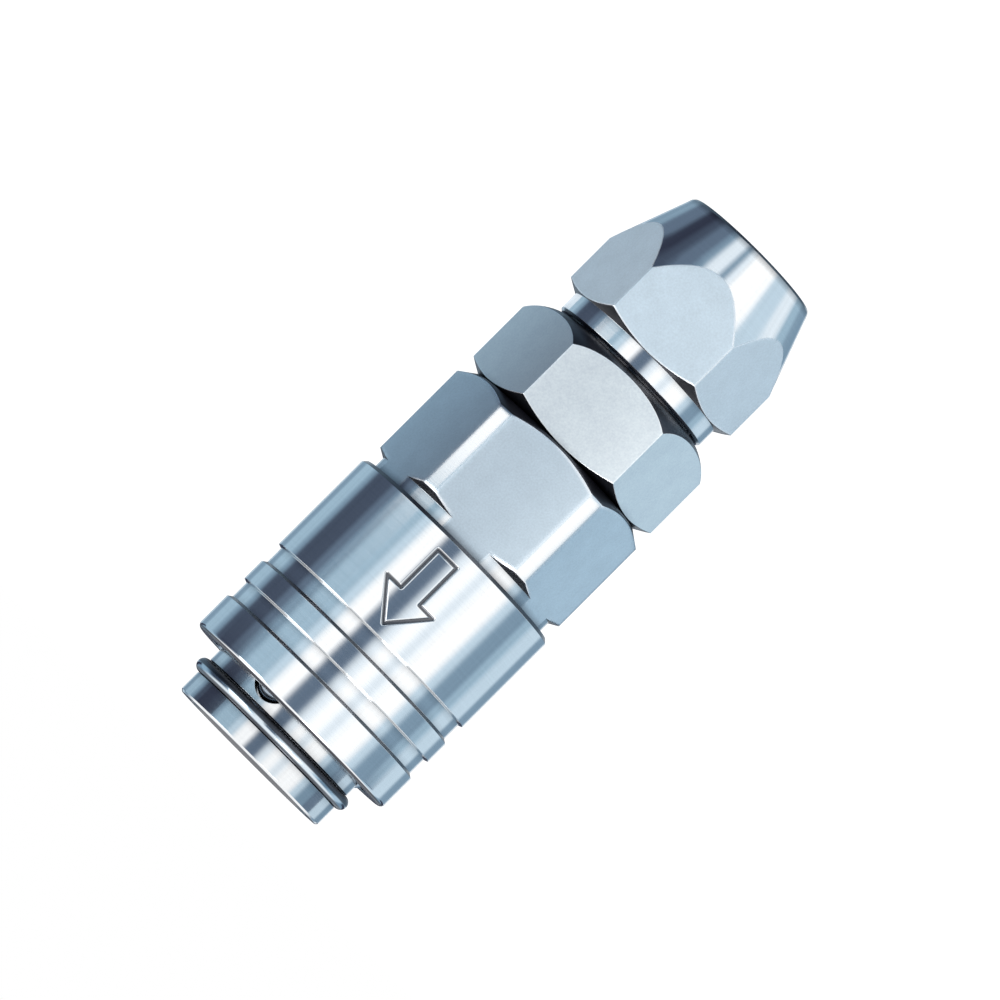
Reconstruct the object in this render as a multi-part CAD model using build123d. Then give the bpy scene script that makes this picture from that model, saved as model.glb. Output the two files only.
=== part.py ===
from build123d import *
import os
from math import degrees, hypot, radians, sqrt, tan

# Lengths are millimetres. The coupling stands on the end face of its hose nut, with the socket's mouth up.
# The sleeve is modelled drawn back, with the balls held out by the retainer, ready to take a plug.

# Wrench sizes, across the flats: each hex is a step smaller than the one before it
body_flats = 22.0
adapter_flats = body_flats - 1.0
nut_flats = adapter_flats - 2.0
nut_turn = 2.9

# Clearances
slide_gap = 0.1
close_gap = 0.05
seal_gap = 0.1
end_gap = 0.05
groove_gap = 0.02

# How far a piece that is fused on, or a cut, reaches past the face it meets
overlap = 1.0

# Hose nut
nut_length = 16.8
nut_collar_length = 2.15
nut_collar_setback = 0.1
nut_end_radius = 7.9
nut_cone_angle = 20.0
nut_edge = 0.25
nut_corner_round = 0.45
nut_thread_depth = 6.3
nut_to_adapter = 0.2
hose_radius = 6.0
hose_entry_gap = 0.2
hose_entry_length = 2.8
hose_entry_edge = 0.4
nut_throat_radius = 7.4
nut_thread_relief = 0.5

# Adapter
adapter_hex_length = 10.0
adapter_face_setback = 0.25
adapter_rear_setback = 1.3
adapter_dome_height = 2.2
adapter_dome_bulge = 0.3
adapter_corner_round = 0.15
boss_radius = 8.0
boss_length = 6.5
nipple_radius = 4.1
nipple_length = 7.5
nipple_root_radius = 5.6
nipple_root_length = 1.9
nipple_edge = 0.5
through_radius = 3.3
thread_radius = 9.0
thread_length = 7.5
thread_edge = 0.5
thread_undercut = 0.7
spigot_gap = 0.08
chamber_radius = 7.0
chamber_floor = 3.5
chamfer_angle = 30.0

# Socket body
body_hex_length = 12.1
corner_turned_off = 0.5
body_face_setback = 0.3
body_rear_chamfer_angle = 36.0
neck_over_flats = 0.25
neck_length = 7.9
seal_bore_radius = 8.5
thread_relief = 1.0
mouth_radius = 6.4
mouth_edge = 1.4
mouth_to_tip = 4.5
mouth_above_balls = 0.2
tip_edge = 0.2

# Ball lock: balls moved in by the sleeve's taper, held out by the retainer until a plug pushes it back
ball_count = 3
ball_diameter = 4.0
first_ball_angle = 20.5
ball_zone_radius = 6.1
ball_travel = 1.0
ball_sink = 0.15
ball_hole_gap = 0.05
ball_above_seat = 15.0
sleeve_travel = 3.9
taper_clearance = 0.035
stop_below_balls = 2.1

# Sleeve
sleeve_wall = 1.15
sleeve_front = 0.95
sleeve_length = 22.25
sleeve_front_edge = 0.65
sleeve_rear_edge = 0.25
land_length = 2.2
recess_gap = 0.25
taper_end_bite = 0.15
grip_depth = 0.45
grip_flank = 0.3
grip_length = 2.35
grip_pitch = 4.7
first_grip = 3.85
grip_count = 2

# Snap ring
ring_wire = 1.5
ring_standoff = 0.05
ring_split = 2.4
ring_stop_gap = 0.15
ring_side_gap = 0.1

# Seals, carrier and valve
carrier_length = 3.4
carrier_bore = 5.0
packing_depth = 1.5
packing_width = 1.4
packing_lip = 0.3
o_ring_section = 0.88
o_ring_groove_width = 1.1
face_seal_section = 1.26
face_seal_room = 0.14
valve_nose_radius = 4.4
valve_nose_bore = 3.4
valve_nose_length = 3.5
valve_window = 2.2
valve_window_height = 1.8
valve_head_radius = 5.9
valve_head_length = 1.4
valve_seal_height = 0.55
valve_seal_width = 1.2
valve_edge = 0.3
stem_radius = 1.5
stem_past_guide = 1.0
guide_thickness = 1.5
guide_rim = 1.0
guide_hub_radius = 2.6
guide_spoke = 1.4
guide_spokes = 3

# Retainer
retainer_wall = 1.05
retainer_lead = 0.5
retainer_lead_step = 0.15
retainer_front = 0.5
retainer_flange_length = 1.2
retainer_flange_width = 1.4
retainer_skirt = 2.1

# Spring wires and turns
sleeve_wire = 1.0
sleeve_turns = 5
retainer_wire = 0.8
retainer_turns = 5
valve_wire = 0.7
valve_turns = 5
valve_spring_radius = 4.6

# Radii that follow from the wrench sizes
body_corner_radius = body_flats / sqrt(3) - corner_turned_off
body_face_radius = body_flats / 2 - body_face_setback
neck_radius = body_flats / 2 + neck_over_flats
skirt_radius = neck_radius + slide_gap
sleeve_radius = skirt_radius + sleeve_wall
adapter_face_radius = adapter_flats / 2 - adapter_face_setback
adapter_rear_radius = adapter_flats / 2 - adapter_rear_setback
nut_collar_radius = nut_flats / 2 - nut_collar_setback

# Heights of the main faces above the nut's end face
z_adapter = nut_length + nut_to_adapter
z_body = z_adapter + adapter_hex_length
z_neck = z_body + body_hex_length
z_seat = z_neck + neck_length
z_ball = z_seat + ball_above_seat
z_carrier = z_seat - carrier_length
z_floor = z_body + chamber_floor
z_boss = z_adapter - boss_length
z_nipple = z_boss - nipple_length

# The balls rest out against the bore's retainer and move in by their travel, when the sleeve covers them
ball_radius = ball_diameter / 2
ball_out = ball_zone_radius + ball_radius
ball_in = ball_out - ball_travel
tube_radius = ball_in + ball_radius + ball_sink

# The wire's centre stands just outside the tube
ring_wire_radius = tube_radius + ring_standoff

# The land's edge and the taper stand just clear of the balls' straight path, seen from the moving sleeve
land_radius = tube_radius + slide_gap
path_length = hypot(ball_travel, sleeve_travel)
land_lead = (ball_radius + taper_clearance) * path_length / ball_travel
land_lead -= (land_radius - ball_out) * sleeve_travel / ball_travel
taper_radius = ball_out + ball_radius - taper_end_bite
taper_length = (taper_radius - land_radius) * sleeve_travel / ball_travel
z_land = z_ball - land_lead
z_step = z_land + taper_length
recess_radius = ball_out + ball_radius + recess_gap

# The ring stops the sleeve's step at the end of its travel
wire_reach = sqrt((ring_wire / 2) ** 2 - (taper_radius - ring_wire_radius) ** 2)
z_ring = z_step + sleeve_travel + ring_stop_gap + wire_reach
z_mouth = z_ball + ball_radius + mouth_above_balls
z_tip = z_mouth + mouth_to_tip
z_sleeve_front = z_ball + sleeve_front
z_sleeve_rear = z_sleeve_front - sleeve_length
z_shoulder = z_land - land_length

# The retainer's flange stops against the end of its chamber, just below the balls
retainer_radius = ball_zone_radius - close_gap
retainer_bore = retainer_radius - retainer_wall
retainer_chamber = ball_zone_radius + retainer_flange_width
z_stop = z_ball - ball_radius - stop_below_balls
z_flange = z_stop - seal_gap - retainer_flange_length

# The face seal sits in the undercut behind the adapter's thread
undercut_radius = thread_radius - thread_undercut
face_seal_bore = undercut_radius + face_seal_section + 2 * groove_gap
face_seal_depth = face_seal_section + face_seal_room

# The valve's head stands below its seat by the height of its rubber
z_head = z_carrier - end_gap - valve_seal_height
z_head_rear = z_head - valve_head_length
z_guide = z_floor + guide_thickness


def turned(*corners):
    """A solid turned about the axis from the corners of its half section, each a radius and a height."""
    outline = Wire.make_polygon([(radius, 0, height) for radius, height in corners], close=True)
    return revolve(Face(outline), Axis.Z)


def ring(outer, inner, low, high):
    """A plain ring between two radii and two heights."""
    return turned((inner, low), (outer, low), (outer, high), (inner, high))


def hex_bar(flats, low, high, corner_round=0.0, turn=0.0):
    """A hexagonal bar with a flat towards -Y, its long edges sharp or rounded."""
    section = RegularPolygon(flats / 2, 6, major_radius=False, rotation=turn)
    if corner_round:
        section = fillet(section.vertices(), corner_round)
    return Pos(0, 0, low) * extrude(section, high - low)


def drop(width, angle=chamfer_angle):
    """How far a chamfer at this angle to the face falls over a width."""
    return width * tan(radians(angle))


def corner_radius(flats):
    """The radius of a hexagon's corners."""
    return flats / sqrt(3)


def squeezed_ring(radius, section, height):
    """A ring of rubber whose round section is squeezed to eight flats in its groove."""
    octagon = RegularPolygon(section / 2, 8, major_radius=False, rotation=22.5)
    return revolve(Plane.XZ * Pos(radius, height) * octagon, Axis.Z)


def coil_spring(radius, wire, low, high, turns):
    """A compression spring of square wire between two seats."""
    half = wire / 2
    rise = high - low - wire - 2 * end_gap
    path = Pos(0, 0, low + end_gap + half) * Helix(rise / turns, rise, radius)
    section = Plane(origin=path @ 0, z_dir=path % 0, x_dir=(1, 0, 0)) * Rectangle(wire, wire)
    return sweep(section, path=path, is_frenet=True)


def socket_outside():
    """The hex, the flatted neck and the tube with its chamfered tip."""
    turning = turned(
        (0, z_body),
        (body_face_radius, z_body),
        (body_corner_radius, z_body + drop(body_corner_radius - body_face_radius, body_rear_chamfer_angle)),
        (body_corner_radius, z_neck - drop(body_corner_radius - neck_radius)),
        (neck_radius, z_neck),
        (neck_radius, z_seat),
        (0, z_seat),
    )
    tube = turned(
        (0, z_neck),
        (tube_radius, z_neck),
        (tube_radius, z_tip - tip_edge),
        (tube_radius - tip_edge, z_tip),
        (0, z_tip),
    )
    return (turning & hex_bar(body_flats, z_body, z_seat)) + tube


def socket_bores():
    """The stepped hole from the adapter's thread up to the mouth."""
    female_radius = thread_radius + close_gap
    thread_end = z_body + thread_length + thread_relief
    return turned(
        (0, z_body),
        (face_seal_bore, z_body),
        (face_seal_bore, z_body + face_seal_depth),
        (female_radius, z_body + face_seal_depth),
        (female_radius, thread_end),
        (seal_bore_radius, thread_end),
        (seal_bore_radius, z_seat),
        (retainer_chamber, z_seat),
        (retainer_chamber, z_stop),
        (ball_zone_radius, z_stop),
        (ball_zone_radius, z_mouth),
        (mouth_radius, z_mouth),
        (mouth_radius, z_tip - mouth_edge),
        (mouth_radius + mouth_edge, z_tip),
        (0, z_tip),
    )


def ball_angles():
    """The directions of the balls about the axis."""
    return [first_ball_angle + 360 / ball_count * turn - 90 for turn in range(ball_count)]


def ball_hole():
    """A hole for one ball along +X, with a round seat that keeps the ball from falling through."""
    radius = ball_radius + ball_hole_gap
    seat = Sphere(radius)
    shank = Rot(0, 90, 0) * Cylinder(radius, tube_radius, align=(Align.CENTER, Align.CENTER, Align.MIN))
    return Pos(ball_in, 0, z_ball) * (seat + shank)


def socket_body():
    """The socket in one piece, with the balls' holes and the snap ring's groove."""
    body = socket_outside() - socket_bores()
    groove_floor = ring_wire_radius - ring_wire / 2 - groove_gap
    groove_half = ring_wire / 2 + ring_side_gap
    body -= ring(tube_radius + overlap, groove_floor, z_ring - groove_half, z_ring + groove_half)
    for angle in ball_angles():
        body -= Rot(0, 0, angle) * ball_hole()
    return body


def snap_ring():
    """A ring of round wire, split on the side away from the front."""
    gap_angle = degrees(ring_split / ring_wire_radius)
    section = Pos(ring_wire_radius, 0, z_ring) * Rot(90, 0, 0) * Circle(ring_wire / 2)
    wire = revolve(section, Axis.Z, revolution_arc=360 - gap_angle)
    return Rot(0, 0, 90 + gap_angle / 2) * wire


def adapter_hex():
    """The adapter's hex, chamfered towards the socket and domed towards the nut."""
    corner = corner_radius(adapter_flats)
    dome_end = (corner, 0, z_adapter + adapter_dome_height)
    dome_start = (adapter_rear_radius, 0, z_adapter)
    sides = Polyline(
        dome_end,
        (corner, 0, z_body - drop(corner - adapter_face_radius)),
        (adapter_face_radius, 0, z_body),
        (0, 0, z_body),
        (0, 0, z_adapter),
        dome_start,
    )
    middle = (
        (corner + adapter_rear_radius) / 2 + adapter_dome_bulge * 0.6,
        0,
        z_adapter + adapter_dome_height / 2 - adapter_dome_bulge * 0.8,
    )
    dome = ThreePointArc(dome_start, middle, dome_end)
    turning = revolve(make_face([sides, dome]), Axis.Z)
    return turning & hex_bar(adapter_flats, z_adapter, z_body, adapter_corner_round)


def adapter():
    """The hose adapter: a spigot that screws into the socket, a hex, a threaded boss and a nipple."""
    spigot_radius = seal_bore_radius - spigot_gap
    thread_end = z_body + thread_length
    spigot = turned(
        (0, z_body - overlap),
        (undercut_radius, z_body - overlap),
        (undercut_radius, z_body + face_seal_depth),
        (thread_radius, z_body + face_seal_depth),
        (thread_radius, thread_end - thread_edge),
        (thread_radius - thread_edge, thread_end),
        (spigot_radius, thread_end),
        (spigot_radius, z_carrier),
        (0, z_carrier),
    )
    tail = turned(
        (0, z_nipple),
        (nipple_radius - nipple_edge, z_nipple),
        (nipple_radius, z_nipple + nipple_edge),
        (nipple_radius, z_boss - nipple_root_length),
        (nipple_root_radius, z_boss),
        (boss_radius - thread_edge, z_boss),
        (boss_radius, z_boss + thread_edge),
        (boss_radius, z_adapter + overlap),
        (0, z_adapter + overlap),
    )
    waterway = turned(
        (0, z_nipple),
        (through_radius, z_nipple),
        (through_radius, z_floor),
        (chamber_radius, z_floor),
        (chamber_radius, z_carrier),
        (0, z_carrier),
    )
    return adapter_hex() + spigot + tail - waterway


def adapter_o_ring():
    """The face seal between the adapter and the socket."""
    centre = (undercut_radius + face_seal_bore) / 2
    return squeezed_ring(centre, face_seal_section, z_body + face_seal_depth / 2)


def packing_heights():
    """The lower and upper side of the packing's groove, in the middle of the carrier's length."""
    middle = z_seat - carrier_length / 2
    return middle - packing_width / 2, middle + packing_width / 2


def seal_carrier():
    """The ring clamped below the retainer's chamber: it holds the packing, and its lower face is the valve's seat."""
    low, high = packing_heights()
    outer = seal_bore_radius - close_gap
    middle = (low + high) / 2
    carrier = ring(outer, carrier_bore, z_carrier, z_seat)
    carrier -= ring(carrier_bore + packing_depth, carrier_bore - overlap, low, high)
    groove_floor = outer - o_ring_section - groove_gap
    half = o_ring_groove_width / 2
    return carrier - ring(outer + overlap, groove_floor, middle - half, middle + half)


def carrier_o_ring():
    """The round seal in the carrier's outer groove."""
    low, high = packing_heights()
    centre = seal_bore_radius - close_gap - o_ring_section / 2
    return squeezed_ring(centre, o_ring_section, (low + high) / 2)


def plug_packing():
    """The packing that grips the plug's nose, with a lip rounded by two bevels."""
    low, high = packing_heights()
    low += seal_gap
    high -= seal_gap
    lip = carrier_bore - packing_lip
    bevel = (high - low) / 3
    return turned(
        (lip, low + bevel),
        (carrier_bore, low),
        (carrier_bore + packing_depth - seal_gap, low),
        (carrier_bore + packing_depth - seal_gap, high),
        (carrier_bore, high),
        (lip, high - bevel),
    )


def valve_guide():
    """A spoked washer that holds the valve's stem in line and carries its spring."""
    outer = chamber_radius - seal_gap
    bore = stem_radius + close_gap
    guide = ring(outer, outer - guide_rim, z_floor, z_guide) + ring(guide_hub_radius, bore, z_floor, z_guide)
    start = (bore + guide_hub_radius) / 2
    reach = outer - guide_rim / 2 - start
    spoke = Box(reach, guide_spoke, guide_thickness, align=(Align.MIN, Align.CENTER, Align.MIN))
    for turn in range(guide_spokes):
        guide += Rot(0, 0, 360 / guide_spokes * turn) * Pos(start, 0, z_floor) * spoke
    return guide


def valve():
    """The poppet: a stem, a head, and a hollow nose with windows that the plug pushes."""
    z_stem = z_guide - stem_past_guide
    z_nose = z_head + valve_nose_length
    poppet = turned(
        (0, z_stem),
        (stem_radius - valve_edge, z_stem),
        (stem_radius, z_stem + valve_edge),
        (stem_radius, z_head_rear),
        (valve_head_radius - valve_edge, z_head_rear),
        (valve_head_radius, z_head_rear + valve_edge),
        (valve_head_radius, z_head),
        (valve_nose_radius, z_head),
        (valve_nose_radius, z_nose),
        (valve_nose_bore, z_nose),
        (valve_nose_bore, z_head),
        (0, z_head),
    )
    across = 2 * (valve_nose_radius + overlap)
    window = Box(across, valve_window, valve_window_height, align=(Align.CENTER, Align.CENTER, Align.MIN))
    for angle in (0, 90):
        poppet -= Pos(0, 0, z_head) * Rot(0, 0, angle) * window
    return poppet


def valve_seal():
    """The rubber ring on the valve's head."""
    outer = valve_head_radius - seal_gap
    return ring(outer, outer - valve_seal_width, z_head, z_head + valve_seal_height)


def ball_retainer():
    """The sprung collar that holds the balls out: a thin tube, a stop flange and a skirt for its spring."""
    front = z_ball + retainer_front
    skirt_outer = retainer_radius - close_gap
    return turned(
        (retainer_bore, z_flange - retainer_skirt),
        (skirt_outer, z_flange - retainer_skirt),
        (skirt_outer, z_flange),
        (retainer_chamber - slide_gap, z_flange),
        (retainer_chamber - slide_gap, z_flange + retainer_flange_length),
        (retainer_radius, z_flange + retainer_flange_length),
        (retainer_radius, front - retainer_lead),
        (retainer_radius - retainer_lead_step, front),
        (retainer_bore, front),
    )


def sleeve():
    """The outer sleeve with two grip grooves, its inner land and taper, and the step that meets the snap ring."""
    shell = turned(
        (sleeve_radius - sleeve_rear_edge, z_sleeve_rear),
        (sleeve_radius, z_sleeve_rear + sleeve_rear_edge),
        (sleeve_radius, z_sleeve_front),
        (recess_radius, z_sleeve_front),
        (recess_radius, z_step),
        (taper_radius, z_step),
        (land_radius, z_land),
        (land_radius, z_shoulder),
        (skirt_radius, z_shoulder),
        (skirt_radius, z_sleeve_rear),
    )
    front_edge = shell.edges().group_by(Axis.Z)[-1].sort_by(SortBy.RADIUS)[-1]
    shell = fillet(front_edge, sleeve_front_edge)
    floor = sleeve_radius - grip_depth
    for index in range(grip_count):
        top = z_sleeve_front - first_grip - index * grip_pitch
        bottom = top - grip_length
        shell -= turned(
            (floor, bottom + grip_flank),
            (sleeve_radius, bottom),
            (sleeve_radius + overlap, bottom),
            (sleeve_radius + overlap, top),
            (sleeve_radius, top),
            (floor, top - grip_flank),
        )
    return shell


def hose_nut():
    """The nut that clamps the hose: a hex run out into a cone, a round collar, and a throat that closes on the hose."""
    corner = corner_radius(nut_flats)
    z_collar = nut_length - nut_collar_length
    outside = turned(
        (0, 0),
        (nut_end_radius - nut_edge, 0),
        (nut_end_radius, nut_edge),
        (corner, nut_edge + (corner - nut_end_radius) / tan(radians(nut_cone_angle))),
        (corner, z_collar - drop(corner - nut_collar_radius)),
        (nut_collar_radius, z_collar),
        (0, z_collar),
    )
    collar = turned(
        (0, z_collar - overlap),
        (nut_collar_radius, z_collar - overlap),
        (nut_collar_radius, nut_length - nut_edge),
        (nut_collar_radius - nut_edge, nut_length),
        (0, nut_length),
    )
    entry = hose_radius + hose_entry_gap
    thread_floor = nut_length - nut_thread_depth
    thread = boss_radius + close_gap
    hole = turned(
        (0, 0),
        (entry + hose_entry_edge, 0),
        (entry, hose_entry_edge),
        (entry, hose_entry_length),
        (nut_throat_radius, thread_floor - nut_thread_relief),
        (thread, thread_floor),
        (thread, nut_length),
        (0, nut_length),
    )
    return (outside & hex_bar(nut_flats, 0, nut_length, nut_corner_round, nut_turn)) + collar - hole


def springs():
    """The three springs: the sleeve's outside the tube, the retainer's inside it and the valve's on the guide."""
    sleeve_middle = (tube_radius + skirt_radius) / 2
    retainer_middle = (retainer_radius + retainer_chamber) / 2
    return {
        "sleeve_spring": coil_spring(sleeve_middle, sleeve_wire, z_seat, z_shoulder, sleeve_turns),
        "retainer_spring": coil_spring(retainer_middle, retainer_wire, z_seat, z_flange, retainer_turns),
        "valve_spring": coil_spring(valve_spring_radius, valve_wire, z_guide, z_head_rear, valve_turns),
    }


def lock_balls():
    """The balls, each resting out in its hole."""
    places = [Rot(0, 0, angle) * Pos(ball_out, 0, z_ball) for angle in ball_angles()]
    return {f"lock_ball_{index + 1}": place * Sphere(ball_radius) for index, place in enumerate(places)}


parts = {
    "socket_body": socket_body(),
    "snap_ring": snap_ring(),
    "adapter": adapter(),
    "adapter_o_ring": adapter_o_ring(),
    "seal_carrier": seal_carrier(),
    "carrier_o_ring": carrier_o_ring(),
    "plug_packing": plug_packing(),
    "valve_guide": valve_guide(),
    "valve": valve(),
    "valve_seal": valve_seal(),
    "ball_retainer": ball_retainer(),
    "sleeve": sleeve(),
    "hose_nut": hose_nut(),
    **springs(),
    **lock_balls(),
}

os.makedirs("parts", exist_ok=True)
for name, solid in parts.items():
    export_step(solid, f"parts/{name}.step")
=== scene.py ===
from math import cos, pi, radians, sin

import bpy
import numpy as np
from mathutils import Matrix, Vector


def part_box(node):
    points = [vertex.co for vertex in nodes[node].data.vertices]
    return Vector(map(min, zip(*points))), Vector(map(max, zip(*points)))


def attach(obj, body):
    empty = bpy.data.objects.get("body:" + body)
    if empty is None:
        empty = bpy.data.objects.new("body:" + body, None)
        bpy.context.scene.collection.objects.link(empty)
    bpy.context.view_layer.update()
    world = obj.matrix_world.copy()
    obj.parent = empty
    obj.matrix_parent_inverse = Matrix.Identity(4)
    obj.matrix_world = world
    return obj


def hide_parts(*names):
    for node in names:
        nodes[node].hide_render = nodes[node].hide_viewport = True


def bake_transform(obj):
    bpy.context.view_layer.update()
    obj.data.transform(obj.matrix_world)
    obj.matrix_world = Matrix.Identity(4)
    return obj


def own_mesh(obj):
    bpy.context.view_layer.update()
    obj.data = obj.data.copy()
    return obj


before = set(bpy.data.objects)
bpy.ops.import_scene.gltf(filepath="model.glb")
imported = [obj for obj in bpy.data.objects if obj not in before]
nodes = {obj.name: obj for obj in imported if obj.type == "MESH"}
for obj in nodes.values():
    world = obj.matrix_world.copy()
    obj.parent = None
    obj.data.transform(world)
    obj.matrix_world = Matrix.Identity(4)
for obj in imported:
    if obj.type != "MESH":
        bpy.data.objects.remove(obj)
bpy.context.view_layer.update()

mm = 0.001

# Where the photograph was taken from: a long lens, a little above the horizon, rolled so that the mouth
# points down to the left
view_tilt = radians(3.8)
view_roll = radians(225.06)
view_distance = 0.772
focal_pixels = 8000.0
image_pixels = 1000.0
sensor_mm = 36.0
aim_height = 34.0 * mm
aim_offset_pixels = (3.0, 3.5)
near_clip = 0.01
far_clip = 20.0


def photo_camera():
    """The camera at the photograph's viewing angle, aimed at a point on the axis."""
    back = Vector((0, -cos(view_tilt), sin(view_tilt)))
    level_right = Vector((1, 0, 0))
    level_up = back.cross(level_right)
    right = cos(view_roll) * level_right + sin(view_roll) * level_up
    up = back.cross(right)
    pixel = view_distance / focal_pixels
    place = Vector((0, 0, aim_height)) + back * view_distance
    place += (up * aim_offset_pixels[1] - right * aim_offset_pixels[0]) * pixel
    data = bpy.data.cameras.new("photo_camera")
    data.sensor_width = sensor_mm
    data.lens = focal_pixels * sensor_mm / image_pixels
    data.clip_start = near_clip
    data.clip_end = far_clip
    camera = bpy.data.objects.new("photo_camera", data)
    bpy.context.scene.collection.objects.link(camera)
    turn = Matrix((right, up, back)).transposed()
    camera.matrix_world = Matrix.Translation(place) @ turn.to_4x4()
    bpy.context.scene.camera = camera


class Graph:
    """A small helper that adds nodes to a node tree and links their sockets."""

    def __init__(self, tree):
        self.tree = tree
        tree.nodes.clear()

    def add(self, kind, **settings):
        node = self.tree.nodes.new(kind)
        for name, value in settings.items():
            setattr(node, name, value)
        return node

    def link(self, source, target):
        self.tree.links.new(source, target)

    def put(self, value, target):
        """Give a socket a number, or link another socket to it."""
        if isinstance(value, (int, float)):
            target.default_value = value
        else:
            self.link(value, target)

    def math(self, operation, first, second=None, clamp=False):
        """One Math node: each operand is a number or a socket."""
        node = self.add("ShaderNodeMath", operation=operation, use_clamp=clamp)
        self.put(first, node.inputs[0])
        if second is not None:
            self.put(second, node.inputs[1])
        return node.outputs[0]

    def step(self, value, low, high):
        """A smooth step from 0 at low to 1 at high."""
        node = self.add("ShaderNodeMapRange", interpolation_type="SMOOTHSTEP")
        self.link(value, node.inputs["Value"])
        node.inputs["From Min"].default_value = low
        node.inputs["From Max"].default_value = high
        return node.outputs[0]

    def between(self, value, low, high):
        """A straight line from low at 0 to high at 1."""
        node = self.add("ShaderNodeMapRange")
        self.link(value, node.inputs["Value"])
        node.inputs["To Min"].default_value = low
        node.inputs["To Max"].default_value = high
        return node.outputs[0]

    def ramp(self, value, stops):
        """A colour ramp: stops are (position, (r, g, b))."""
        node = self.add("ShaderNodeValToRGB")
        elements = node.color_ramp.elements
        while len(elements) > 1:
            elements.remove(elements[-1])
        elements[0].position = stops[0][0]
        elements[0].color = (*stops[0][1], 1)
        for position, colour in stops[1:]:
            elements.new(position).color = (*colour, 1)
        self.link(value, node.inputs[0])
        return node.outputs[0]

    def mix(self, factor, first, second, blend="MIX"):
        """A mix of two colours: each is a socket or (r, g, b)."""
        node = self.add("ShaderNodeMix", data_type="RGBA", blend_type=blend)
        self.put(factor, node.inputs[0])
        for value, target in ((first, node.inputs[6]), (second, node.inputs[7])):
            if isinstance(value, tuple):
                target.default_value = (*value, 1)
            else:
                self.link(value, target)
        return node.outputs[2]

    def shaders(self, factor, first, second):
        """A mix of two shaders."""
        node = self.add("ShaderNodeMixShader")
        self.put(factor, node.inputs[0])
        self.link(first, node.inputs[1])
        self.link(second, node.inputs[2])
        return node.outputs[0]


def material_graph(name):
    """A new material with its empty graph."""
    material = bpy.data.materials.new(name)
    material.use_nodes = True
    return material, Graph(material.node_tree)


def linear(code):
    """The linear colour of a display colour written as six hexadecimal digits."""
    values = [int(code[place:place + 2], 16) / 255 for place in (0, 2, 4)]
    return tuple(v / 12.92 if v <= 0.04045 else ((v + 0.055) / 1.055) ** 2.4 for v in values)


# The tones of the cards and curtains that stand round the coupling
white = linear("ffffff")
pale = linear("dfe8ef")
light = linear("bccfdc")
middle = linear("98b2c3")
grey = linear("7890a3")
slate = linear("5c6c7f")
dark = linear("414b5c")
night = linear("2f3444")

# Each card starts at so many degrees round the axis from the camera's side, positive towards +X, and blends
# softly into the next
level_edge = 3.0
low_edge = 4.0
level_cards = [
    (-180.0, dark),
    (-173.0, pale),
    (-165.0, grey),
    (-138.0, light),
    (-112.0, middle),
    (-100.0, grey),
    (-78.0, light),
    (-67.0, white),
    (-40.0, pale),
    (-28.0, white),
    (-15.0, pale),
    (-5.0, slate),
    (14.0, white),
    (32.0, light),
    (42.0, middle),
    (66.0, grey),
    (78.0, slate),
    (88.0, dark),
    (116.0, grey),
    (124.0, middle),
    (146.0, grey),
    (164.0, light),
    (172.0, dark),
]
low_cards = [
    (-180.0, dark),
    (-172.0, light),
    (-163.0, grey),
    (-130.0, middle),
    (-110.0, pale),
    (-86.0, light),
    (-54.0, white),
    (-8.0, pale),
    (3.0, grey),
    (14.0, pale),
    (36.0, grey),
    (48.0, slate),
    (70.0, dark),
    (84.0, night),
    (104.0, slate),
    (132.0, grey),
    (160.0, middle),
    (172.0, dark),
]

# Small cards beside the coupling, seen only by the metal level with them: the angle and half the angle that
# each fills, its lowest and highest millimetre, and its tone
card_distance = 150.0 * mm
card_columns = 9
small_cards = {
    "corner_card": (60.0, 12.0, 5.0, 29.3, white),
    "nose_flag": (86.0, 16.0, 59.0, 80.0, night),
    "nose_grey_card": (-103.0, 9.0, 59.0, 80.0, slate),
    "collar_card": (152.0, 18.0, -3.0, 4.0, pale),
    "back_card": (180.0, 40.0, 69.0, 88.0, night),
}
card_strength = 1.25

# The world: the heights in degrees between which the low cards pass into the level ones, and those into
# white, faint streaks round the turn, and the even light on what isn't mirrored
ring_join = (-24.0, -9.0)
ceiling_edge = (20.0, 38.0)
streak_count = 70.0
streak_veil = [(0.3, (0.9, 0.9, 0.9)), (0.6, (1.0, 1.0, 1.0))]
even_tone = (0.93, 0.96, 1.0)
even_strength = 0.8

# The floor: half its width in metres, its own tone, and how much of it the camera sees as plain white
floor_half = 5.0
floor_tone = (0.9, 0.92, 0.94)
floor_glow = 1.2
floor_whiteness = 0.85

# Each lamp's place and width in metres and its power in watts
lamps = {
    "soft_key": ((-0.5, -0.8, 0.9), 0.6, 5.0),
    "soft_fill": ((0.8, -0.5, 0.5), 0.6, 2.5),
}


def card_ring(graph, share, cards, edge):
    """The colour of a ring of cards, from the share of the turn round the axis."""
    stops = [(0.0, cards[0][1])]
    for (_, before), (angle, after) in zip(cards, cards[1:]):
        stops.append(((angle + 180 - edge) / 360, before))
        stops.append(((angle + 180 + edge) / 360, after))
    half = len(stops) // 2
    return graph.mix(graph.math("GREATER_THAN", share, stops[half][0]),
                     graph.ramp(share, stops[:half + 1]), graph.ramp(share, stops[half:]))


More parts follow.
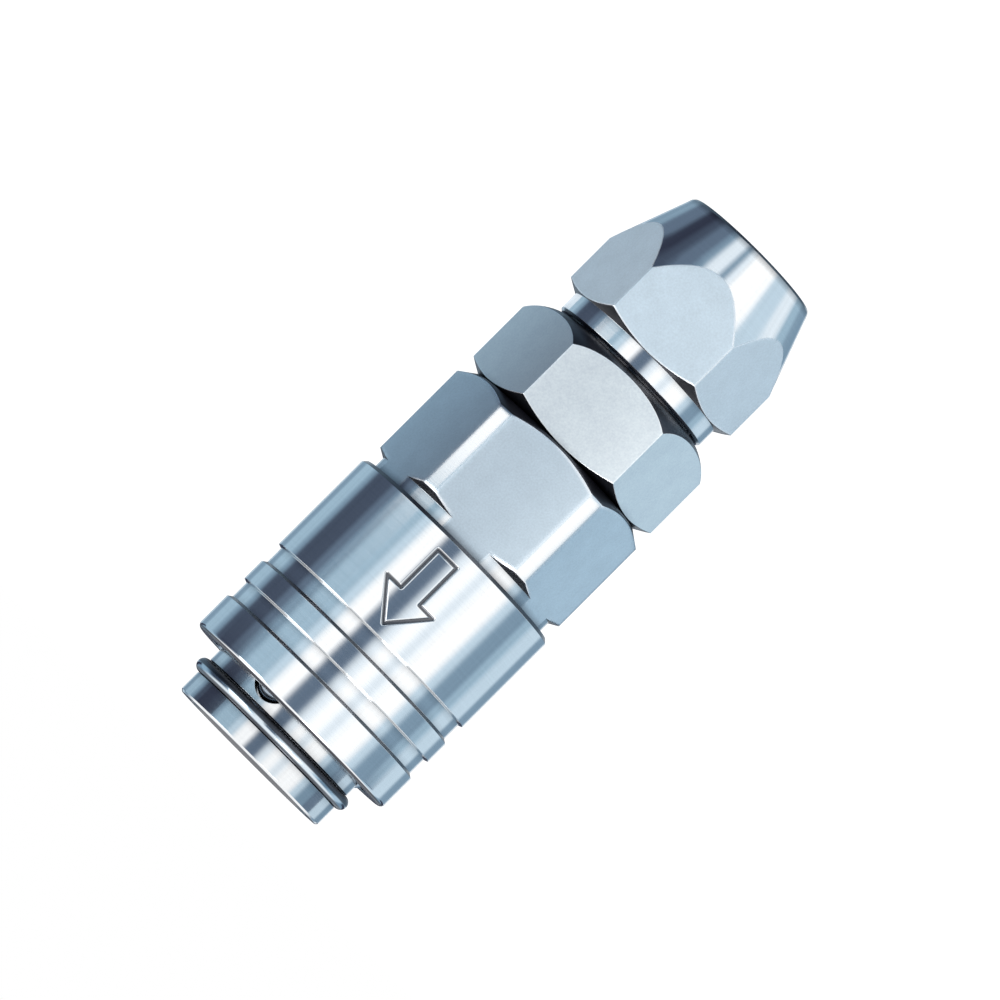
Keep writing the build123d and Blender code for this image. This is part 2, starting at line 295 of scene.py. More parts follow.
def studio_world():
    """White to the camera, even as soft light, and rings of cards where the metal mirrors it."""
    world = bpy.data.worlds.new("studio")
    bpy.context.scene.world = world
    world.use_nodes = True
    graph = Graph(world.node_tree)
    direction = graph.add("ShaderNodeTexCoord").outputs["Generated"]
    parts = graph.add("ShaderNodeSeparateXYZ")
    graph.link(direction, parts.inputs[0])
    x, y, z = parts.outputs
    turn = graph.math("ARCTAN2", x, graph.math("MULTIPLY", y, -1.0))
    share = graph.math("ADD", graph.math("DIVIDE", turn, radians(360)), 0.5)
    level = graph.step(z, *[sin(radians(height)) for height in ring_join])
    colour = graph.mix(level, card_ring(graph, share, low_cards, low_edge),
                       card_ring(graph, share, level_cards, level_edge))
    ceiling = graph.step(z, *[sin(radians(height)) for height in ceiling_edge])
    colour = graph.mix(ceiling, colour, white)
    streaks = graph.add("ShaderNodeTexNoise", noise_dimensions="1D")
    streaks.inputs["Scale"].default_value = streak_count
    graph.link(share, streaks.inputs["W"])
    colour = graph.mix(1.0, colour, graph.ramp(streaks.outputs[0], streak_veil), "MULTIPLY")
    mirrored = graph.add("ShaderNodeBackground")
    graph.link(colour, mirrored.inputs["Color"])
    mirrored.inputs["Strength"].default_value = card_strength
    even = graph.add("ShaderNodeBackground")
    even.inputs["Color"].default_value = (*even_tone, 1)
    even.inputs["Strength"].default_value = even_strength
    plain = graph.add("ShaderNodeBackground")
    plain.inputs["Color"].default_value = (1, 1, 1, 1)
    rays = graph.add("ShaderNodeLightPath")
    lit = graph.shaders(rays.outputs["Is Glossy Ray"], even.outputs[0], mirrored.outputs[0])
    shown = graph.math("MAXIMUM", rays.outputs["Is Camera Ray"], rays.outputs["Is Transmission Ray"])
    out = graph.add("ShaderNodeOutputWorld")
    graph.link(graph.shaders(shown, lit, plain.outputs[0]), out.inputs[0])


def small_card(name, angle, half_angle, low, high, tone):
    """A card that stands upright round the axis from the camera's side, seen in the metal only.

    At the angle a its edges stand at (d sin a, -d cos a), where d is the cards' distance.
    """
    angles = np.radians(np.linspace(angle - half_angle, angle + half_angle, card_columns))
    edges = [(card_distance * sin(a), -card_distance * cos(a)) for a in angles]
    points = [(*edge, height * mm) for height in (low, high) for edge in edges]
    faces = [(n, n + 1, n + 1 + card_columns, n + card_columns) for n in range(card_columns - 1)]
    mesh = bpy.data.meshes.new(name)
    mesh.from_pydata(points, [], faces)
    material, graph = material_graph(name)
    glow = graph.add("ShaderNodeEmission")
    glow.inputs["Color"].default_value = (*tone, 1)
    glow.inputs["Strength"].default_value = card_strength
    rays = graph.add("ShaderNodeLightPath")
    clear = graph.add("ShaderNodeBsdfTransparent")
    whole = graph.shaders(rays.outputs["Is Glossy Ray"], clear.outputs[0], glow.outputs[0])
    graph.link(whole, graph.add("ShaderNodeOutputMaterial").inputs[0])
    mesh.materials.append(material)
    card = bpy.data.objects.new(name, mesh)
    bpy.context.scene.collection.objects.link(card)


def floor():
    """A pale floor that the coupling stands on, with its shadow, open to the metal's mirrored rays."""
    corners = [(x * floor_half, y * floor_half, 0) for x, y in ((-1, -1), (1, -1), (1, 1), (-1, 1))]
    mesh = bpy.data.meshes.new("floor")
    mesh.from_pydata(corners, [], [(0, 1, 2, 3)])
    plane = bpy.data.objects.new("floor", mesh)
    bpy.context.scene.collection.objects.link(plane)
    material, graph = material_graph("pale_floor")
    lit = graph.add("ShaderNodeBsdfDiffuse")
    lit.inputs["Color"].default_value = (*floor_tone, 1)
    glow = graph.add("ShaderNodeEmission")
    glow.inputs["Color"].default_value = (1, 1, 1, 1)
    glow.inputs["Strength"].default_value = floor_glow
    clear = graph.add("ShaderNodeBsdfTransparent")
    rays = graph.add("ShaderNodeLightPath")
    shown = graph.math("MULTIPLY", rays.outputs["Is Camera Ray"], floor_whiteness)
    pale_floor = graph.shaders(shown, lit.outputs[0], glow.outputs[0])
    through = graph.math("MAXIMUM", rays.outputs["Is Glossy Ray"], rays.outputs["Is Transmission Ray"])
    whole = graph.shaders(through, pale_floor, clear.outputs[0])
    graph.link(whole, graph.add("ShaderNodeOutputMaterial").inputs[0])
    mesh.materials.append(material)


def lamp(name, place, size, power):
    """A soft square lamp aimed at the middle of the coupling."""
    data = bpy.data.lights.new(name, "AREA")
    data.size = size
    data.energy = power
    light_object = bpy.data.objects.new(name, data)
    bpy.context.scene.collection.objects.link(light_object)
    place = Vector(place)
    turn = (Vector((0, 0, aim_height)) - place).to_track_quat("-Z", "Y").to_matrix()
    light_object.matrix_world = Matrix.Translation(place) @ turn.to_4x4()


# Finishes. Their lengths are in metres, because they read the object's own coordinates.
# Painted shade in narrow gaps: how far it reaches, how strongly it darkens, and the tone it darkens to
gap_reach = 0.9 * mm
gap_darkness = 1.2
shadow = (0.02, 0.02, 0.032)
edge_round = 0.07 * mm
near_samples = 8

turning_pitch = 0.12 * mm
turning_depth = 0.0006 * mm
turning_spread = 0.025
turning_stretch = (60.0, 60.0, 1.0)
# How much darker the turned tone is above a given height
dull_tone = 0.9
# How much rougher the metal is where shade is painted, which dulls its reflection
shade_roughness = 0.2

grain_size = 0.2 * mm
grain_depth = 0.001 * mm
grain_spread = 0.09
cloud_size = 2.2 * mm
cloud_spread = 0.07
cloud_share = 0.4
crown = 7.0
# Painted highlight along the flats' edges: its tone, the turn of the normal over which it fades in, and how
# much glossier it is
highlight_tone = (0.95, 0.97, 1.0)
highlight_turn = (0.93, 0.995)
highlight_gloss = 0.6

flat_edge = (0.1 * mm, 0.01 * mm)
# Painted shade on the chamfers and end faces: the slope over which it fades in, and its strength
end_slope = (0.26, 0.36)
end_darkness = 0.93
dull_reach = 1.0 * mm

bloom_size = 0.6 * mm
bloom_depth = 0.004 * mm
bloom_tones = [(0.35, (0.012, 0.012, 0.013)), (0.7, (0.03, 0.03, 0.032))]
bloom_roughness = (0.42, 0.6)


def object_place(graph):
    """The object's own coordinates."""
    return graph.add("ShaderNodeTexCoord").outputs["Object"]


def three_parts(graph, vector):
    """The x, y and z of a vector."""
    node = graph.add("ShaderNodeSeparateXYZ")
    graph.link(vector, node.inputs[0])
    return node.outputs


def noise(graph, place, size, stretch=(1.0, 1.0, 1.0), detail=2.0):
    """Noise of a given size in metres, drawn out along the axes by the stretch."""
    scaled = graph.add("ShaderNodeVectorMath", operation="MULTIPLY")
    graph.link(place, scaled.inputs[0])
    scaled.inputs[1].default_value = tuple(1 / (size * s) for s in stretch)
    texture = graph.add("ShaderNodeTexNoise")
    texture.inputs["Scale"].default_value = 1.0
    texture.inputs["Detail"].default_value = detail
    graph.link(scaled.outputs[0], texture.inputs["Vector"])
    return texture.outputs[0]


def band(graph, value, low, high, soft=0.1 * mm):
    """1 between low and high, with soft ends."""
    inside = graph.step(value, low - soft / 2, low + soft / 2)
    beyond = graph.step(value, high - soft / 2, high + soft / 2)
    return graph.math("MULTIPLY", inside, graph.math("SUBTRACT", 1.0, beyond))


def soft_edges(graph, rounding):
    """The surface's normal, rounded over its edges."""
    rounded = graph.add("ShaderNodeBevel", samples=near_samples)
    graph.put(rounding, rounded.inputs["Radius"])
    return rounded.outputs[0]


def relief(graph, height, depth, normal):
    """A normal with relief of a height from 0 to 1 times the depth."""
    bump = graph.add("ShaderNodeBump")
    bump.inputs["Distance"].default_value = depth
    graph.link(height, bump.inputs["Height"])
    graph.link(normal, bump.inputs["Normal"])
    return bump.outputs[0]


def shaded(graph, tone, shade=None, lift=None):
    """A tone with painted shade in narrow gaps, unless it is lifted there, and where the shade is 1."""
    node = graph.add("ShaderNodeAmbientOcclusion", samples=near_samples)
    node.inputs["Distance"].default_value = gap_reach
    lit = graph.math("POWER", node.outputs["AO"], gap_darkness)
    if lift is not None:
        lit = graph.math("MAXIMUM", lit, lift)
    if shade is not None:
        lit = graph.math("MULTIPLY", lit, graph.math("SUBTRACT", 1.0, shade, clamp=True))
    return graph.mix(lit, shadow, tone)


def metal(graph, colour, roughness, normal, along=0.0, metallic=1.0):
    """A metal surface whose reflections, where asked, are drawn out along the axis by turning lines."""
    shader = graph.add("ShaderNodeBsdfPrincipled")
    shader.inputs["Metallic"].default_value = metallic
    graph.link(colour, shader.inputs["Base Color"])
    graph.put(roughness, shader.inputs["Roughness"])
    graph.link(normal, shader.inputs["Normal"])
    if along:
        shader.inputs["Anisotropic"].default_value = along
        shader.inputs["Anisotropic Rotation"].default_value = 0.25
        tangent = graph.add("ShaderNodeTangent", direction_type="RADIAL", axis="Z")
        graph.link(tangent.outputs[0], shader.inputs["Tangent"])
    return shader.outputs[0]


def toned(graph, value, colour, spread):
    """A colour that varies a little with a noise value."""
    return graph.ramp(value, [
        (0.3, tuple(v * (1 - spread) for v in colour)),
        (0.7, tuple(min(v * (1 + spread), 1.0) for v in colour)),
    ])


def turned_finish(graph, colour, roughness=0.13, along=0.5, rounding=edge_round, shade=None, dull=None,
                  lift=None):
    """Bright plating over fine turning lines, a little duller where asked."""
    lines = noise(graph, object_place(graph), turning_pitch, stretch=turning_stretch)
    tone = toned(graph, lines, colour, turning_spread)
    # A little darker where dull is 1
    if dull is not None:
        dull_colour = tuple(v * dull_tone for v in colour)
        tone = graph.mix(dull, tone, toned(graph, lines, dull_colour, turning_spread))
    # Painted shade in gaps and where the shade is 1
    tone = shaded(graph, tone, shade, lift)
    normal = relief(graph, lines, turning_depth, soft_edges(graph, rounding))
    gloss = graph.between(lines, roughness * 0.85, roughness * 1.15)
    # Rougher where shade is painted, which dulls its reflection
    if shade is not None:
        gloss = graph.math("ADD", gloss, graph.math("MULTIPLY", shade, shade_roughness))
    return metal(graph, tone, gloss, normal, along)


def edge_highlight(graph, normal):
    """1 along the edges of the flats, where a highlight is painted into the colour.

    The product of the face's own normal and the rounded one falls below 1 only over an edge.
    """
    turned_away = graph.add("ShaderNodeVectorMath", operation="DOT_PRODUCT")
    graph.link(graph.add("ShaderNodeNewGeometry").outputs["True Normal"], turned_away.inputs[0])
    graph.link(normal, turned_away.inputs[1])
    return graph.math("SUBTRACT", 1.0, graph.step(turned_away.outputs["Value"], *highlight_turn))


def milled_finish(graph, colour, roughness, rounding, shade, metallic):
    """Satin plating over a fine even grain, on flats that are crowned a little across.

    The crown is a height of minus a constant times the squared distance from the axis, in metres.
    """
    place = object_place(graph)
    distance = axis_distance(graph)[0]
    grain = noise(graph, place, grain_size, detail=3.0)
    clouds = noise(graph, place, cloud_size)
    square = graph.math("MULTIPLY", distance, distance)
    normal = soft_edges(graph, rounding)
    highlight = edge_highlight(graph, normal)
    tone = toned(graph, grain, colour, grain_spread)
    tone = graph.mix(cloud_share, tone, toned(graph, clouds, colour, cloud_spread))
    # Painted highlight along the edges of the flats
    tone = graph.mix(highlight, tone, highlight_tone)
    # Painted shade in gaps and where the shade is 1
    tone = shaded(graph, tone, shade)
    normal = relief(graph, graph.math("MULTIPLY", square, -crown), 1.0, normal)
    normal = relief(graph, grain, grain_depth, normal)
    gloss = graph.between(grain, roughness * 0.9, roughness * 1.1)
    gloss = graph.math("SUBTRACT", gloss, graph.math("MULTIPLY", highlight, roughness * highlight_gloss))
    return metal(graph, tone, gloss, normal, metallic=metallic)


def on_flats(graph, flats, turn, low, high):
    """1 on the flats of a hexagon between two heights, and 0 on what is turned."""
    x, y, z = three_parts(graph, object_place(graph))
    reach = None
    for flat in range(3):
        angle = radians(60 * flat + turn)
        across = graph.math("MULTIPLY", x, sin(angle))
        across = graph.math("ADD", across, graph.math("MULTIPLY", y, -cos(angle)))
        across = graph.math("ABSOLUTE", across)
        reach = across if reach is None else graph.math("MAXIMUM", reach, across)
    mask = graph.step(reach, *[flats / 2 - inside for inside in flat_edge])
    mask = graph.math("MULTIPLY", mask, graph.math("GREATER_THAN", z, low))
    return graph.math("MULTIPLY", mask, graph.math("LESS_THAN", z, high))


def on_ends(graph, low, high):
    """1 on the chamfers and end faces between two heights, which get painted shade, and 0 elsewhere."""
    facing = three_parts(graph, graph.add("ShaderNodeNewGeometry").outputs["True Normal"])[2]
    steep = graph.step(graph.math("ABSOLUTE", facing), *end_slope)
    height = three_parts(graph, object_place(graph))[2]
    return graph.math("MULTIPLY", steep, band(graph, height, low, high))


def hexagon_steel(name, colour, flat_colour, flats, turn, flat_heights, end_heights, round_heights, rounding,
                  roughness=0.42, metallic=1.0, extra_shade=None, lift=None, dull_above=None):
    """Turned steel with satin flats, soft corners and painted shade on the chamfers.

    flats is the width across them and turn is their angle in degrees. The three pairs of heights bound the
    flats, the chamfers with painted shade and the rounded corners.
    """
    material, graph = material_graph(name)
    height = three_parts(graph, object_place(graph))[2]
    corners = band(graph, height, *round_heights)
    radius = graph.math("ADD", edge_round, graph.math("MULTIPLY", corners, rounding - edge_round))
    # Painted shade on the chamfers and end faces, and more where asked
    shade = graph.math("MULTIPLY", on_ends(graph, *end_heights), end_darkness)
    if extra_shade is not None:
        shade = graph.math("MAXIMUM", shade, extra_shade(graph))
    dull = None if dull_above is None else graph.step(height, dull_above, dull_above + dull_reach)
    lifted = None if lift is None else lift(graph)
    turned = turned_finish(graph, colour, rounding=radius, shade=shade, dull=dull, lift=lifted)
    milled = milled_finish(graph, flat_colour, roughness, radius, shade, metallic)
    whole = graph.shaders(on_flats(graph, flats, turn, *flat_heights), turned, milled)
    graph.link(whole, graph.add("ShaderNodeOutputMaterial").inputs[0])
    return material


def turned_steel(name, colour, shade=None, **settings):
    """Turned and plated steel, with a shade of its own where asked."""
    material, graph = material_graph(name)
    own_shade = None if shade is None else shade(graph)
    whole = turned_finish(graph, colour, shade=own_shade, **settings)
    graph.link(whole, graph.add("ShaderNodeOutputMaterial").inputs[0])
    return material


def rubber(name):
    """Black nitrile rubber with a faint bloom."""
    material, graph = material_graph(name)
    bloom = noise(graph, object_place(graph), bloom_size, detail=4.0)
    shader = graph.add("ShaderNodeBsdfPrincipled")
    graph.link(graph.ramp(bloom, bloom_tones), shader.inputs["Base Color"])
    graph.link(graph.between(bloom, *bloom_roughness), shader.inputs["Roughness"])
    graph.link(relief(graph, bloom, bloom_depth, soft_edges(graph, edge_round)), shader.inputs["Normal"])
    graph.link(shader.outputs[0], graph.add("ShaderNodeOutputMaterial").inputs[0])
    return material


def axis_distance(graph):
    """The distance from the axis, and the height along it."""
    x, y, z = three_parts(graph, object_place(graph))
    square = graph.math("ADD", graph.math("MULTIPLY", x, x), graph.math("MULTIPLY", y, y))
    return graph.math("SQRT", square), z


def hole_lift(graph):
    """Light that the polished balls throw onto the walls of their holes."""
    radius, z = axis_distance(graph)
    under = graph.math("LESS_THAN", radius, tube_radius - wall_edge)
    return graph.math("MULTIPLY", under, band(graph, z, *hole_heights))


def mouth_shade(graph):
    """Painted shade inside the mouth."""
    radius, z = axis_distance(graph)
    outside = graph.step(radius, *[tube_radius - inward for inward in mouth_edge])
    inside = graph.math("MULTIPLY", graph.math("SUBTRACT", 1.0, outside), mouth_darkness)
    return graph.math("MULTIPLY", inside, graph.math("GREATER_THAN", z, mouth_depth))


def ring_shade(graph):
    """Dark on the sides of the ring's wire, which stand in the groove's shadow."""
    z = three_parts(graph, object_place(graph))[2]
    bright = band(graph, z, *[ring_middle + height for height in ring_bright], ring_soft)
    return graph.math("MULTIPLY", graph.math("SUBTRACT", 1.0, bright), ring_darkness)


def painted_shade_attribute(graph):
    """The painted shade stored on the mesh, in the corners and the engraved line."""
    return graph.add("ShaderNodeAttribute", attribute_name="painted_shade").outputs["Fac"]


def finish(material, *names):
    """Give CAD nodes their material."""
    for name in names:
        for place in nodes[name].material_slots:
            place.material = material


# The part of the ring's wire that stays bright, above its middle
ring_low, ring_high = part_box("snap_ring")
ring_middle = (ring_low[2] + ring_high[2]) / 2
ring_bright = (0.02 * mm, 0.48 * mm)
ring_soft = 0.16 * mm
ring_darkness = 0.9

# The tube at the front: its outside, where the mouth's painted shade starts, and the heights of the balls'
# holes
tube_radius = 9.25 * mm
wall_edge = 0.03 * mm
mouth_edge = (0.3 * mm, 0.15 * mm)
mouth_depth = 64.2 * mm
mouth_darkness = 0.8
hole_margin = 0.5 * mm
ball_low, ball_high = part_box("lock_ball_1")
hole_heights = (ball_low[2] - hole_margin, ball_high[2] + hole_margin)

# Sizes of the sleeve in millimetres. Its ends come from the frame, moved out a little because rounding takes
# their edges back, and so does its outside.
rear_gain = 0.3
front_gain = 0.2
sleeve_low, sleeve_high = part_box("sleeve")
sleeve_rear = sleeve_low[2] / mm - rear_gain
sleeve_front = sleeve_high[2] / mm + front_gain
sleeve_outside = sleeve_high[0] / mm
skirt_bore = 11.35
land_bore = 9.35
taper_end = 9.95
recess_bore = 10.35
shoulder_back = 6.67
land_back = 4.47
step_back = 2.13
front_round = 0.55
rear_edge = 0.38
small_round = 0.06
grip_depth = 0.45
dull_flank = 0.3
bright_flank = 0.16
grip_length = 2.35
grip_pitch = 4.7
first_grip = 4.05
grips = 2
end_band = 0.6

# Painted shade on the sleeve: under the grips' front edges, on the front rim and face, and in the engraved
# line
flank_shade = 0.85
rim_shade = 0.95
face_shade = 0.6
line_shade = 0.85

# The springs' turns, and how finely they are drawn
spring_turns = 5
steps_a_turn = 48
wire_sides = 12

# The engraved arrow, in millimetres, which points the way that the plug comes out. The skirt's mesh is finer
# round it.
fine_step = 0.07
coarse_columns = 250
arrow_middle = 46.6
arrow_length = 8.6
arrow_head = 3.6
arrow_head_width = 6.2
arrow_shaft_width = 2.5
arrow_line = 0.34
arrow_depth = 0.14
arrow_flank = 0.12


def rounded_outline(corners):
    """Points and normals along a closed outline whose corners are rounded.

    Each corner is (radius, height, rounding). A corner C with edge directions a and b and half the angle t
    between them gets an arc of rounding q about C + (b - a) / |b - a| * q / cos(t), from C - a * q * tan(t)
    to C + b * q * tan(t).
    """
    places = np.array([corner[:2] for corner in corners])
    points, normals = [], []
    count = len(corners)
    for index in range(count):
        here = places[index]
        a = here - places[index - 1]
        b = places[(index + 1) % count] - here
        a, b = a / np.linalg.norm(a), b / np.linalg.norm(b)
        turn = np.arctan2(a[0] * b[1] - a[1] * b[0], a @ b)
        first = np.array([a[1], -a[0]])
        rounding = corners[index][2]
        arc_steps = 12 if rounding > 2 * small_round else 4
        centre = here - a * rounding * np.tan(abs(turn) / 2) - np.sign(turn) * first * rounding
        for share in np.linspace(0, 1, arc_steps + 1):
            angle = turn * share
            normal = np.array([first[0] * np.cos(angle) - first[1] * np.sin(angle),
                               first[0] * np.sin(angle) + first[1] * np.cos(angle)])
            points.append(centre + np.sign(turn) * normal * rounding)
            normals.append(normal)
    return np.array(points), np.array(normals)


def sleeve_corners():
    """The corners of the sleeve's half section, counter-clockwise from the rear inner edge."""
    q = small_round
    corners = [
        (skirt_bore, sleeve_rear, q),
        (sleeve_outside - rear_edge, sleeve_rear, q),
        (sleeve_outside, sleeve_rear + rear_edge, q),
    ]
    floor_radius = sleeve_outside - grip_depth
    for index in reversed(range(grips)):
        top = sleeve_front - first_grip - index * grip_pitch
        bottom = top - grip_length
        corners += [
            (sleeve_outside, bottom, q),
            (floor_radius, bottom + bright_flank, q),
            (floor_radius, top - dull_flank, q),
            (sleeve_outside, top, q),
        ]
    corners += [
        (sleeve_outside, sleeve_front, front_round),
        (recess_bore, sleeve_front, q),
        (recess_bore, sleeve_front - step_back, q),
        (taper_end, sleeve_front - step_back, q),
        (land_bore, sleeve_front - land_back, q),
        (land_bore, sleeve_front - shoulder_back, q),
        (skirt_bore, sleeve_front - shoulder_back, q),
    ]
    return corners


def arrow_outline():
    """The corners of a block arrow round its middle, along the sleeve and across it, pointing forward."""
    tip, tail = arrow_length / 2, -arrow_length / 2
    neck = tip - arrow_head
    shaft, head = arrow_shaft_width / 2, arrow_head_width / 2
    left = [(neck, head), (neck, shaft), (tail, shaft)]
    return [(tip, 0)] + left + [(along, -across) for along, across in reversed(left)]


def arrow_relief(along, across):
    """How deep the engraved line is: its depth within half a line of the outline, eased out over the flank.

    The distance to a segment from P to Q is |X - P - (Q - P) * t|, where t = (X - P).(Q - P) / |Q - P|^2 is
    held between 0 and 1.
    """
    outline = np.array(arrow_outline())
    nearest = np.full(along.shape, np.inf)
    for start, end in zip(outline, np.roll(outline, -1, axis=0)):
        edge = end - start
        share = ((along - start[0]) * edge[0] + (across - start[1]) * edge[1]) / (edge @ edge)
        share = np.clip(share, 0, 1)
        away = np.hypot(along - start[0] - edge[0] * share, across - start[1] - edge[1] * share)
        nearest = np.minimum(nearest, away)
    ease = np.clip((nearest - arrow_line / 2) / arrow_flank + 0.5, 0, 1)
    return -arrow_depth * (1 - ease * ease * (3 - 2 * ease))


def grid_object(name, points, normals, painted_shade, material):
    """A mesh from a grid of points that closes on itself both ways, with normals and painted shade for its
    points.
    """
    rows, columns = points.shape[:2]
    index = np.arange(rows * columns).reshape(rows, columns)
    right, below = np.roll(index, -1, axis=1), np.roll(index, -1, axis=0)
    corner = np.roll(right, -1, axis=0)
    faces = np.stack([index, right, corner, below], axis=-1).reshape(-1, 4)
    mesh = bpy.data.meshes.new(name)
    mesh.from_pydata(points.reshape(-1, 3).tolist(), [], faces.tolist())
    mesh.shade_smooth()
    mesh.normals_split_custom_set_from_vertices(normals.reshape(-1, 3).tolist())
    layer = mesh.attributes.new("painted_shade", "FLOAT", "POINT")
    layer.data.foreach_set("value", painted_shade.astype(np.float32).ravel())
    mesh.materials.append(material)
    piece = bpy.data.objects.new(name, mesh)
    bpy.context.scene.collection.objects.link(piece)
    return piece


def engraved_sleeve(material):
    """The sleeve with rounded edges, turned from its outline, and the arrow cut into its front side.

    A point of the outline at (r, z) stands at ((r + h) sin a, -(r + h) cos a, z) at the angle a, where h is
    the arrow's relief. Its normal leans against the slope of h round the sleeve and along it.
    """
    outline, facing = rounded_outline(sleeve_corners())
    reach = arrow_length / 2 + 2 * arrow_line
    dense = np.arange(arrow_middle - reach, arrow_middle + reach, fine_step)
    on_skirt = (np.abs(outline[:, 0] - sleeve_outside) < 1e-6) & (outline[:, 1] < arrow_middle)
    after = np.flatnonzero(on_skirt)[-1] + 1
    skirt = np.stack([np.full_like(dense, sleeve_outside), dense], axis=-1)
    outline = np.insert(outline, [after] * len(dense), skirt, axis=0)
    facing = np.insert(facing, [after] * len(dense), [1.0, 0.0], axis=0)

    half_width = arrow_head_width / 2 + 2 * arrow_line
    near = np.arange(-half_width, half_width, fine_step) / sleeve_outside
    rest = np.linspace(near[-1], near[0] + 2 * pi, coarse_columns)[1:-1]
    angles = np.concatenate([near, rest])

    radius, height = outline[:, :1], outline[:, 1:]
    signed = (angles + pi) % (2 * pi) - pi
    cut = arrow_relief(height - arrow_middle + 0 * signed, sleeve_outside * signed + 0 * height)
    outside = (np.abs(radius - sleeve_outside) < 1e-6) & (np.abs(height - arrow_middle) < reach)
    cut = np.where(outside & (np.abs(signed) < half_width / sleeve_outside), cut, 0.0)
    slope_round = np.gradient(cut, axis=1) / np.gradient(sleeve_outside * angles)[None, :]
    slope_along = np.zeros_like(cut)
    rows = np.flatnonzero(outside[:, 0])
    slope_along[rows] = np.gradient(cut[rows], height[rows, 0], axis=0)

    outward = np.stack([np.sin(angles), -np.cos(angles), 0 * angles], axis=-1)[None]
    round_way = np.stack([np.cos(angles), np.sin(angles), 0 * angles], axis=-1)[None]
    up = np.array([0.0, 0.0, 1.0])
    points = (radius + cut)[..., None] * outward + height[..., None] * up
    normals = facing[:, :1, None] * outward + facing[:, 1:, None] * up
    normals = normals - slope_round[..., None] * round_way - slope_along[..., None] * up
    normals /= np.linalg.norm(normals, axis=-1, keepdims=True)
    # Painted shade: under the grips' front edges, on the front rim and face, and in the engraved line
    ahead = facing[:, 1:]
    at_front = height > sleeve_front - end_band
    on_flank = (ahead < -0.3) & (radius > sleeve_outside - grip_depth - 0.1)
    on_rim = (ahead > 0.5) & (ahead < 0.99) & at_front
    on_face = (ahead >= 0.99) & at_front
    painted_shade = np.select([on_flank, on_rim, on_face], [flank_shade, rim_shade, face_shade], 0.0)
    painted_shade = painted_shade - line_shade * cut / arrow_depth
    piece = grid_object("engraved_sleeve", points * mm, normals, painted_shade, material)
    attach(piece, "locking_sleeve")
    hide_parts("sleeve")


def coil_spring(node, wire, material):
    """A spring of round wire with closed ends, in the place of a CAD spring.

    After s turns and at the angle t round the wire, a point stands at the radius R + w cos t, the angle
    2 pi s and the height h(s) + w sin t, where w is half the wire. The height h rises by one wire in each end
    turn and evenly between them.
    """
    low, high = np.array(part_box(node)) / mm
    half = wire / 2
    middle = high[0] - half
    bottom, top = low[2] + half, high[2] - half
    turns = np.linspace(0, spring_turns, steps_a_turn * spring_turns + 1)[:, None]
    round_wire = np.linspace(0, 2 * pi, wire_sides, endpoint=False)[None, :]
    climb = [bottom, bottom + wire, top - wire, top]
    rise = np.interp(turns, [0, 1, spring_turns - 1, spring_turns], climb) + half * np.sin(round_wire)
    radius = middle + half * np.cos(round_wire)
    angle = 2 * pi * turns
    points = np.stack([radius * np.cos(angle), radius * np.sin(angle), rise], axis=-1)
    rows, columns = points.shape[:2]
    index = np.arange(rows * columns).reshape(rows, columns)
    right = np.roll(index, -1, axis=1)
    faces = np.stack([index[:-1], index[1:], right[1:], right[:-1]], axis=-1).reshape(-1, 4).tolist()
    faces += [index[0].tolist(), index[-1, ::-1].tolist()]
    mesh = bpy.data.meshes.new("round_" + node)
    mesh.from_pydata((points * mm).reshape(-1, 3).tolist(), [], faces)
    mesh.shade_smooth()
    mesh.materials.append(material)
    piece = bpy.data.objects.new(mesh.name, mesh)
    bpy.context.scene.collection.objects.link(piece)
    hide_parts(node)
    return piece


def pushed_spring(node, wire, material):
    """A spring of round wire, attached to the housing with a mesh of its own."""
    piece = coil_spring(node, wire, material)
    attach(piece, "housing")
    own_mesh(piece)


photo_camera()
studio_world()
floor()
for card_name, card in small_cards.items():
    small_card(card_name, *card)
for lamp_name, (lamp_place, lamp_width, lamp_power) in lamps.items():
    lamp(lamp_name, lamp_place, lamp_width, lamp_power)

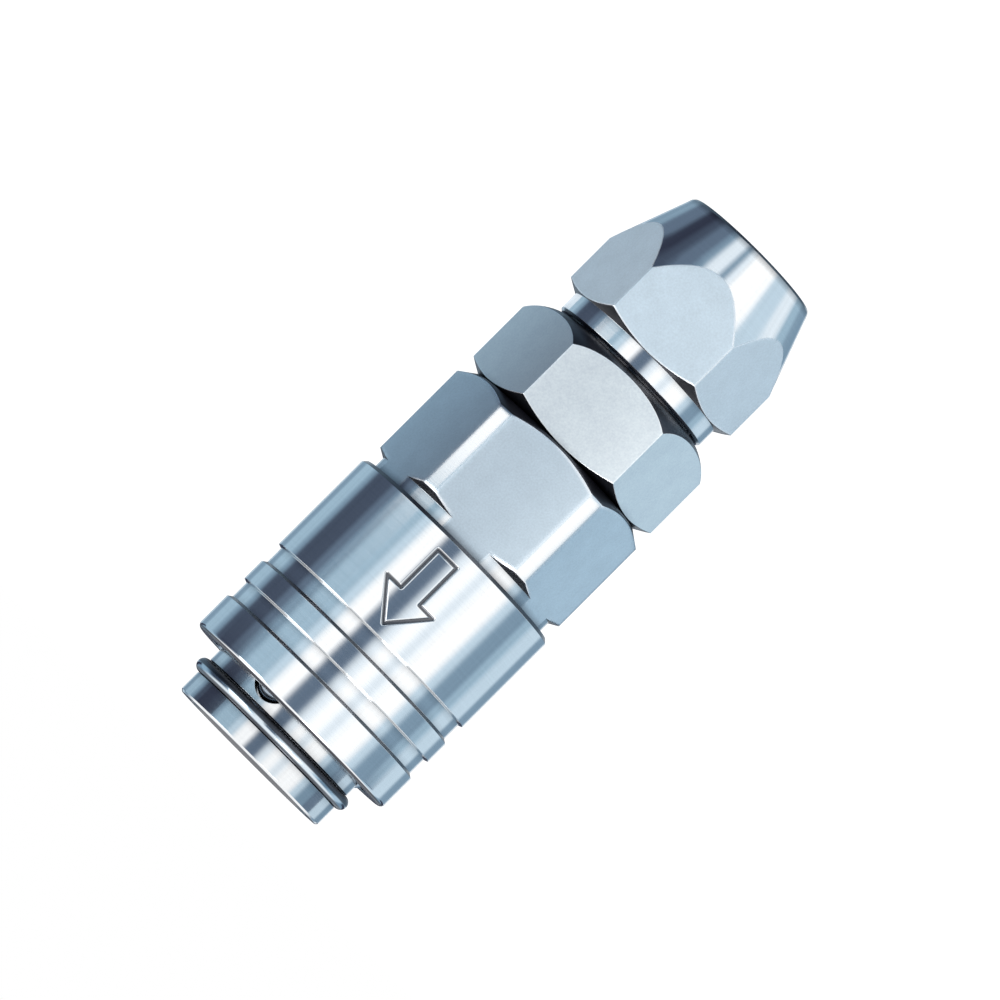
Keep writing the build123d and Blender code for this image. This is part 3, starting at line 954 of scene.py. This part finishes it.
zinc = (0.85, 0.87, 0.885)
body_steel = hexagon_steel(
    "body_steel", zinc, flat_colour=(0.7, 0.79, 0.85), flats=22.0 * mm, turn=0.0,
    flat_heights=(27.0 * mm, 47.05 * mm), end_heights=(26.9 * mm, 39.6 * mm),
    round_heights=(27.2 * mm, 38.9 * mm), rounding=0.7 * mm,
    extra_shade=mouth_shade, lift=hole_lift, dull_above=55.0 * mm)
adapter_steel = hexagon_steel(
    "adapter_steel", zinc, flat_colour=(0.88, 0.93, 0.96), flats=21.0 * mm, turn=0.0,
    flat_heights=(17.0 * mm, 27.0 * mm), end_heights=(16.5 * mm, 27.5 * mm),
    round_heights=(17.0 * mm, 27.0 * mm), rounding=0.15 * mm)
nut_steel = hexagon_steel(
    "nut_steel", zinc, flat_colour=(0.63, 0.72, 0.78), flats=19.0 * mm, turn=2.9,
    flat_heights=(0.0, 14.65 * mm), end_heights=(13.0 * mm, 14.9 * mm),
    round_heights=(1.0 * mm, 14.5 * mm), rounding=0.35 * mm, roughness=0.55, metallic=0.65)
ring_steel = turned_steel("ring_steel", (0.62, 0.7, 0.76), along=0.0, shade=ring_shade)
spring_steel = turned_steel("spring_steel", (0.5, 0.52, 0.55), roughness=0.25, along=0.0)
# Darker than the plating: painted shade on the balls, which sit deep in their holes
ball_steel = turned_steel("ball_steel", (0.42, 0.5, 0.58), roughness=0.2, along=0.0)
retainer_steel = turned_steel("retainer_steel", (0.7, 0.72, 0.75), roughness=0.1)
turned_brass = turned_steel("turned_brass", (0.78, 0.58, 0.28), roughness=0.2)
finish(body_steel, "socket_body")
finish(adapter_steel, "adapter")
finish(nut_steel, "hose_nut")
finish(turned_steel("sleeve_inside_steel", zinc), "sleeve")
finish(ring_steel, "snap_ring")
finish(ball_steel, "lock_ball_1", "lock_ball_2", "lock_ball_3")
finish(retainer_steel, "ball_retainer")
finish(turned_brass, "valve", "valve_guide", "seal_carrier")
finish(rubber("black_rubber"), "plug_packing", "valve_seal", "carrier_o_ring", "adapter_o_ring")
finish(spring_steel, "sleeve_spring", "retainer_spring", "valve_spring")

pushed_spring("retainer_spring", wire=0.8,
              material=spring_steel)
pushed_spring("valve_spring", wire=0.7,
              material=spring_steel)
sleeve_spring = coil_spring("sleeve_spring", wire=1.0, material=spring_steel)
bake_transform(sleeve_spring)
engraved_sleeve(turned_steel("sleeve_steel", zinc, shade=painted_shade_attribute))

bpy.context.scene.view_settings.view_transform = "Standard"
